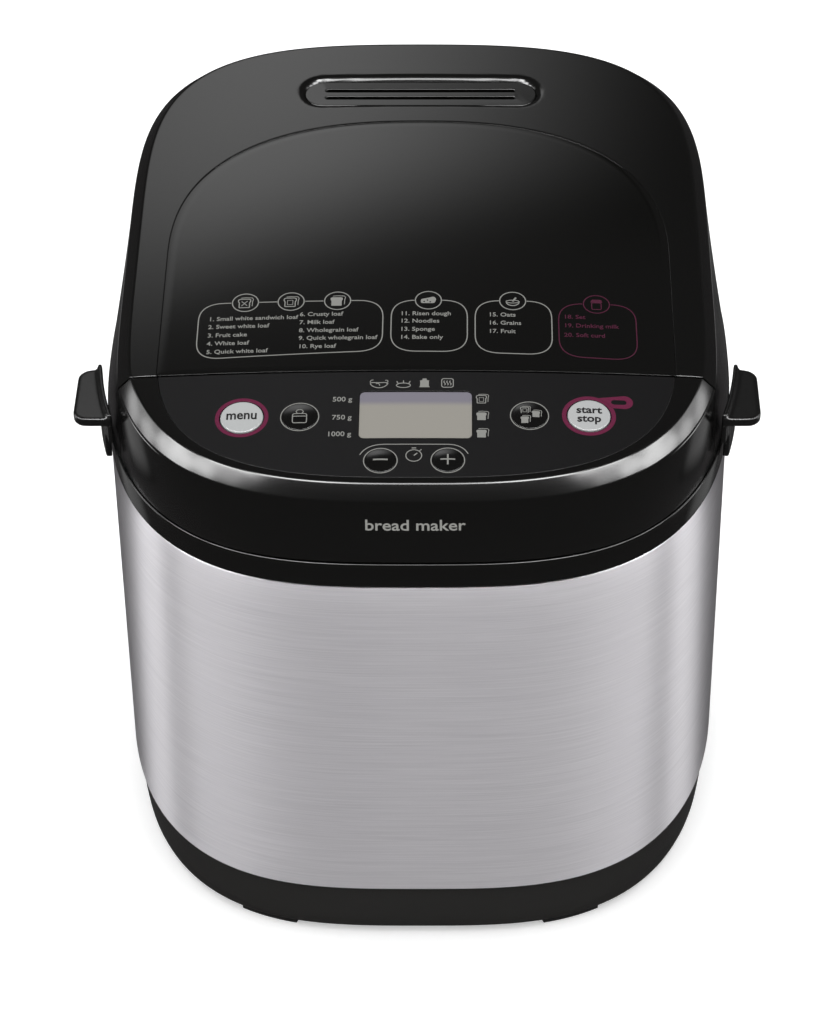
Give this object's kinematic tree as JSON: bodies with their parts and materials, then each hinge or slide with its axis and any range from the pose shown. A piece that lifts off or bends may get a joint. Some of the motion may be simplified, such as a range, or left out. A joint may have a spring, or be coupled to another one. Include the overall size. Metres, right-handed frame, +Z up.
{
  "type": "bread machine",
  "caption": "Counter-top bread machine: steel-sleeved body, hinged gloss lid with steam vent, sloped control panel with display and buttons, lift-out pan with paddle.",
  "frame": {"origin": "on the worktop under the middle of the whole machine's bounding box", "axes": "+X to the right seen from the front, +Y to the rear where the lid hinges, +Z up"},
  "size_m": [0.2906, 0.3054, 0.2893],
  "materials": {
    "gloss_black": "high-gloss moulded plastic",
    "satin_black": "satin moulded plastic",
    "base_grey": "satin moulded plastic",
    "brushed_steel": "horizontal brushed grain",
    "oven_steel": "plain rolled sheet",
    "button_white": "satin moulded plastic",
    "lcd_window": "clear window",
    "lcd_grey": "display module",
    "non_stick": "non-stick coating on die-cast aluminium",
    "rubber": "moulded rubber",
    "bronze": "sintered bronze",
    "board_green": "circuit board",
    "motor_iron": "machined iron and steel"
  },
  "bodies": {
    "case": {"control_fascia": "gloss_black", "panel_overlay": "gloss_black", "top_deck": "satin_black", "handle_left": "satin_black", "handle_right": "satin_black", "hinge_bracket_left": "satin_black", "hinge_bracket_right": "satin_black", "cable_inlet": "satin_black", "base_housing": "base_grey", "steel_wrap": "brushed_steel", "oven_chamber": "oven_steel", "pan_socket": "oven_steel", "chassis_plate": "oven_steel", "run_capacitor": "oven_steel", "lcd_window": "lcd_window", "lcd_module": "lcd_grey", "foot_front_left": "rubber", "foot_front_right": "rubber", "foot_rear_left": "rubber", "foot_rear_right": "rubber", "drive_belt": "rubber", "shaft_bearing": "bronze", "temperature_probe": "bronze", "control_board": "board_green", "power_board": "board_green", "base_screw_1": "motor_iron", "base_screw_2": "motor_iron", "base_screw_3": "motor_iron", "base_screw_4": "motor_iron", "hinge_rod": "motor_iron", "heating_element": "motor_iron", "motor_bracket": "motor_iron", "motor_stator": "motor_iron"},
    "lid": {"lid_shell": "gloss_black", "lid_inlay": "gloss_black", "vent_cap": "gloss_black", "lid_liner": "oven_steel", "lid_hinge_left": "satin_black", "lid_hinge_right": "satin_black"},
    "pan": {"bread_pan": "non_stick", "pan_foot": "non_stick", "pan_bearing": "bronze"},
    "pan_bail": {"pan_handle": "oven_steel"},
    "paddle": {"pan_shaft": "oven_steel", "pan_coupling": "motor_iron", "kneading_paddle": "non_stick"},
    "drive": {"drive_shaft": "motor_iron", "driven_pulley": "satin_black", "drive_coupling": "motor_iron"},
    "motor": {"motor_shaft": "motor_iron", "motor_pulley": "motor_iron", "motor_rotor": "motor_iron", "motor_fan": "satin_black"},
    "menu_button": {"menu_button": "button_white"},
    "weight_button": {"weight_button": "gloss_black"},
    "minus_button": {"minus_button": "gloss_black"},
    "plus_button": {"plus_button": "gloss_black"},
    "crust_button": {"crust_button": "gloss_black"},
    "start_stop_button": {"start_stop_button": "button_white"}
  },
  "joints": [
    {"name": "lid_hinge_turn", "type": "hinge", "parent": "case", "child": "lid", "pos_m": [0, 0.1485, 0.2186], "axis": [-1, 0, 0], "range_deg": [0, 95]},
    {"name": "pan_lift", "type": "slide", "parent": "case", "child": "pan", "axis": [0, 0, 1], "range_m": [0, 0.05]},
    {"name": "pan_bail_turn", "type": "hinge", "parent": "pan", "child": "pan_bail", "pos_m": [0, 0.0261, 0.19], "axis": [-1, 0, 0], "range_deg": [0, 180]},
    {"name": "motor_turn", "type": "hinge", "parent": "case", "child": "motor", "pos_m": [0, -0.1019, 0.07], "axis": [0, 0, 1], "continuous": true},
    {"name": "drive_turn", "type": "hinge", "parent": "case", "child": "drive", "pos_m": [0, 0.0261, 0.04], "axis": [0, 0, 1], "continuous": true},
    {"name": "paddle_turn", "type": "hinge", "parent": "pan", "child": "paddle", "pos_m": [0, 0.0261, 0.08], "axis": [0, 0, 1], "continuous": true},
    {"name": "menu_press", "type": "slide", "parent": "case", "child": "menu_button", "axis": [0.0357, 0.1425, -0.9891], "range_m": [0, 0.001], "stiffness_N_per_m": 600},
    {"name": "weight_press", "type": "slide", "parent": "case", "child": "weight_button", "axis": [0.0238, 0.1426, -0.9895], "range_m": [0, 0.001], "stiffness_N_per_m": 600},
    {"name": "minus_press", "type": "slide", "parent": "case", "child": "minus_button", "axis": [0.007, 0.1426, -0.9898], "range_m": [0, 0.001], "stiffness_N_per_m": 600},
    {"name": "plus_press", "type": "slide", "parent": "case", "child": "plus_button", "axis": [-0.0067, 0.1426, -0.9898], "range_m": [0, 0.001], "stiffness_N_per_m": 600},
    {"name": "crust_press", "type": "slide", "parent": "case", "child": "crust_button", "axis": [-0.0234, 0.1426, -0.9895], "range_m": [0, 0.001], "stiffness_N_per_m": 600},
    {"name": "start_stop_press", "type": "slide", "parent": "case", "child": "start_stop_button", "axis": [-0.0356, 0.1425, -0.9891], "range_m": [0, 0.001], "stiffness_N_per_m": 600}
  ],
  "couplings": [
    {"joint": "drive_turn", "follows": "motor_turn", "ratio": 0.22912},
    {"joint": "paddle_turn", "follows": "motor_turn", "ratio": 0.22912}
  ]
}
